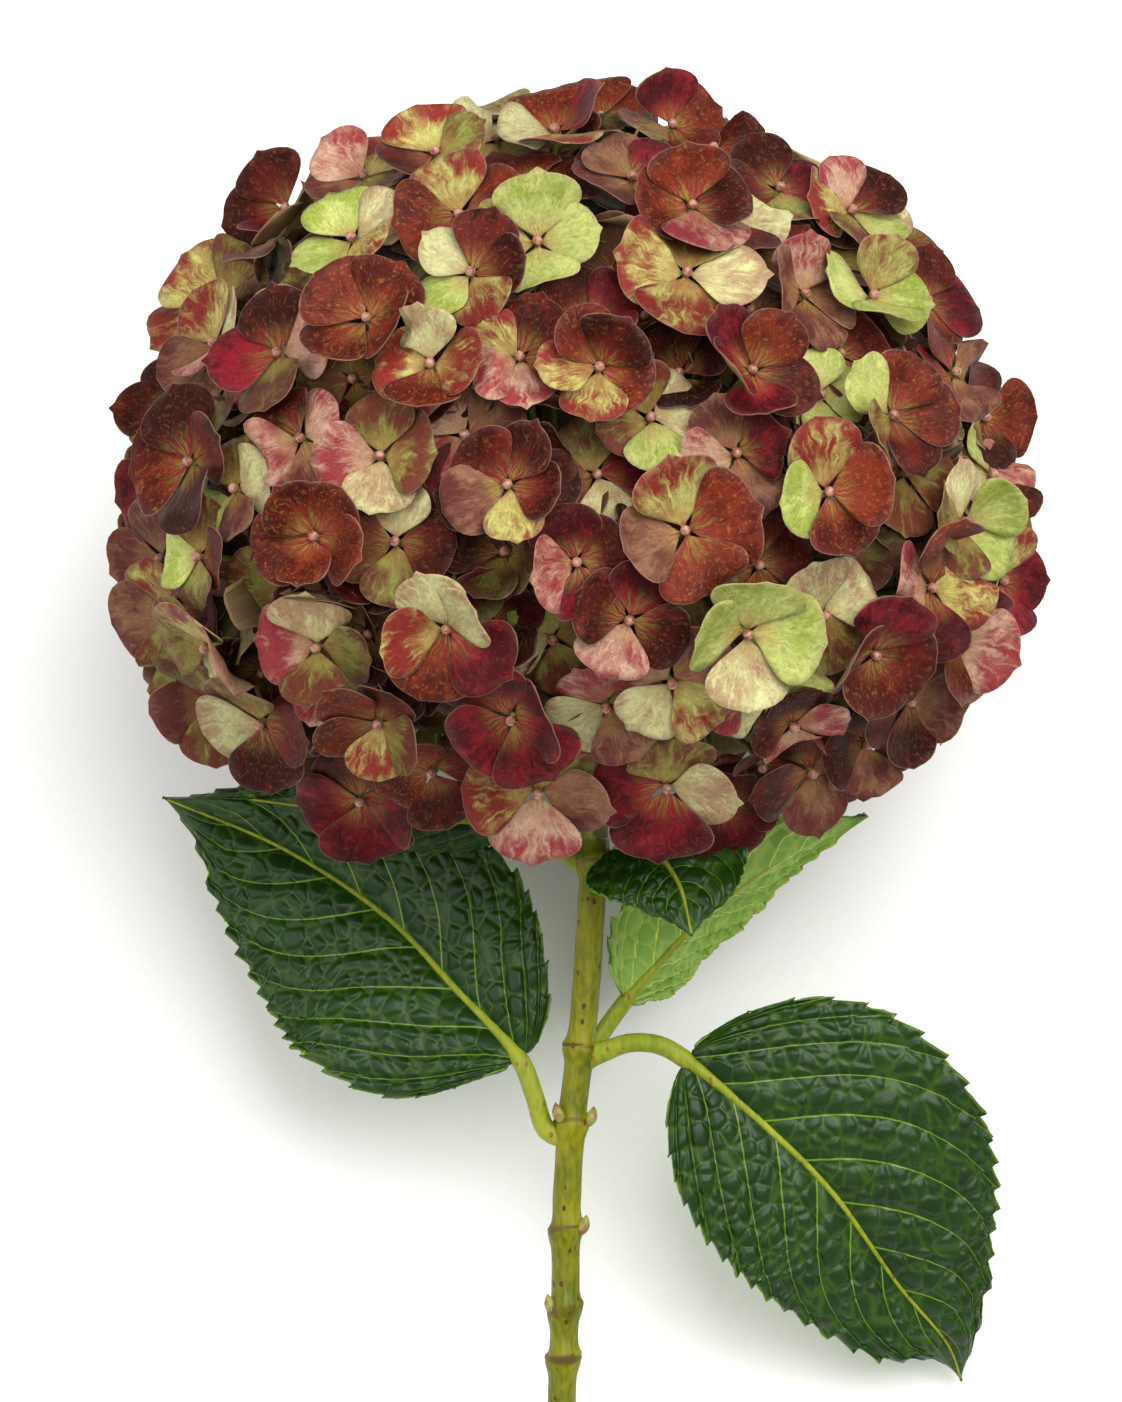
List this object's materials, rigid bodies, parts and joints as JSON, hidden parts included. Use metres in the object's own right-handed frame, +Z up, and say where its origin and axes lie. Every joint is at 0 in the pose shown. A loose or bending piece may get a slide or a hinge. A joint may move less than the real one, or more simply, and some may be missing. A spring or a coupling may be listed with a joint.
{
  "type": "cut hydrangea",
  "caption": "Cut hydrangea stem lying down: a domed head of wine, rust and lime four-petalled florets, serrated dark green leaves and a knotty green stem.",
  "frame": {"origin": "on the surface it lies on, under the middle of its bounding box", "axes": "+Z up from the surface, +Y from the cut end of the stem towards the flower head, +X to the right seen from the stem end"},
  "size_m": [0.2175, 0.3679, 0.2082],
  "materials": {
    "petal": "matte",
    "green_leaf": "satin",
    "green_stem": "satin",
    "pale_stalk": "satin"
  },
  "bodies": {
    "root": {"stem": "green_stem", "flower_stalk": "pale_stalk", "leaf_left_large": "green_leaf", "leaf_right_large": "green_leaf", "leaf_right_folded": "green_leaf", "leaf_right_small": "green_leaf", "leaf_left_small": "green_leaf", "cyme_01": "petal", "cyme_02": "petal", "cyme_03": "petal", "cyme_04": "petal", "cyme_05": "petal", "cyme_06": "petal", "cyme_07": "petal", "cyme_08": "petal", "cyme_09": "petal", "cyme_10": "petal", "cyme_11": "petal", "cyme_12": "petal", "cyme_13": "petal", "cyme_14": "petal", "cyme_15": "petal", "cyme_16": "petal", "cyme_17": "petal", "cyme_18": "petal", "cyme_19": "petal", "cyme_20": "petal", "cyme_21": "petal", "cyme_22": "petal", "cyme_23": "petal", "cyme_24": "petal", "cyme_25": "petal", "cyme_26": "petal", "cyme_27": "petal", "cyme_28": "petal", "cyme_29": "petal", "cyme_30": "petal", "cyme_31": "petal", "cyme_32": "petal", "cyme_33": "petal", "cyme_34": "petal", "cyme_35": "petal", "cyme_36": "petal", "cyme_37": "petal", "cyme_38": "petal", "cyme_39": "petal", "cyme_40": "petal", "cyme_41": "petal", "cyme_42": "petal"}
  },
  "joints": []
}
